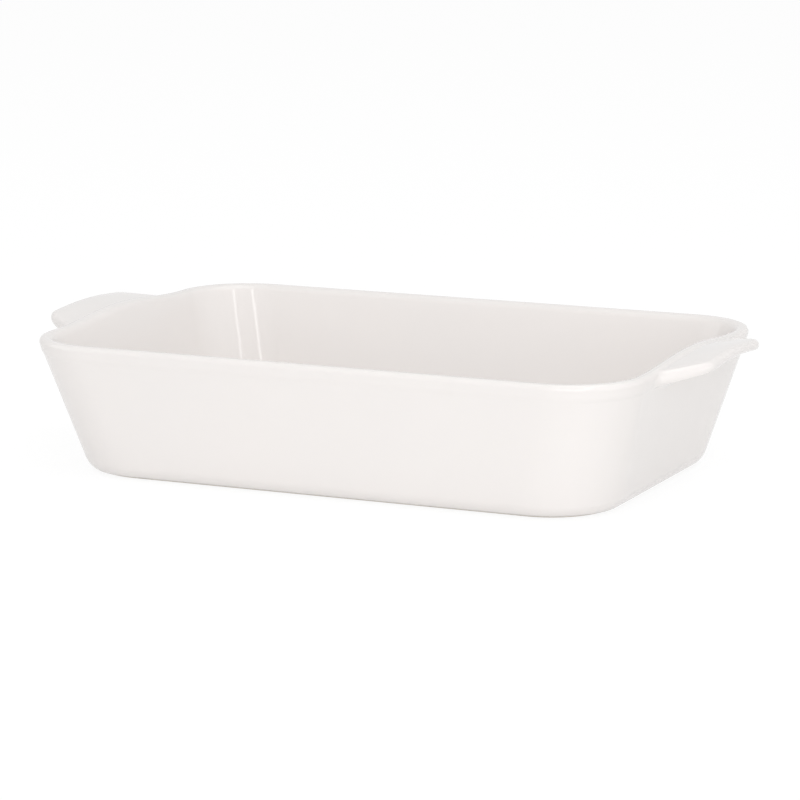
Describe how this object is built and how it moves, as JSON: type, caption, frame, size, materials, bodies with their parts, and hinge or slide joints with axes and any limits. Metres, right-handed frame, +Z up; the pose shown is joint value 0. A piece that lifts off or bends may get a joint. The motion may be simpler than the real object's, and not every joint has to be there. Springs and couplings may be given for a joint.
{
  "type": "baking dish",
  "caption": "Rectangular glazed stoneware baking dish with sloping walls, round corners, a rolled rim and a lug handle with a finger cove on each end.",
  "frame": {"origin": "on the standing surface, at the middle of the dish", "axes": "+X runs along the dish through the right lug, +Y across it to the back wall, +Z up"},
  "size_m": [0.404, 0.2456, 0.0825],
  "materials": {
    "stoneware": "matte",
    "glaze": "gloss"
  },
  "bodies": {
    "root": {"dish_body": "stoneware", "foot_ring": "stoneware", "handle_left": "stoneware", "handle_right": "stoneware", "glaze_coat": "glaze", "base_glaze": "glaze"}
  },
  "joints": []
}
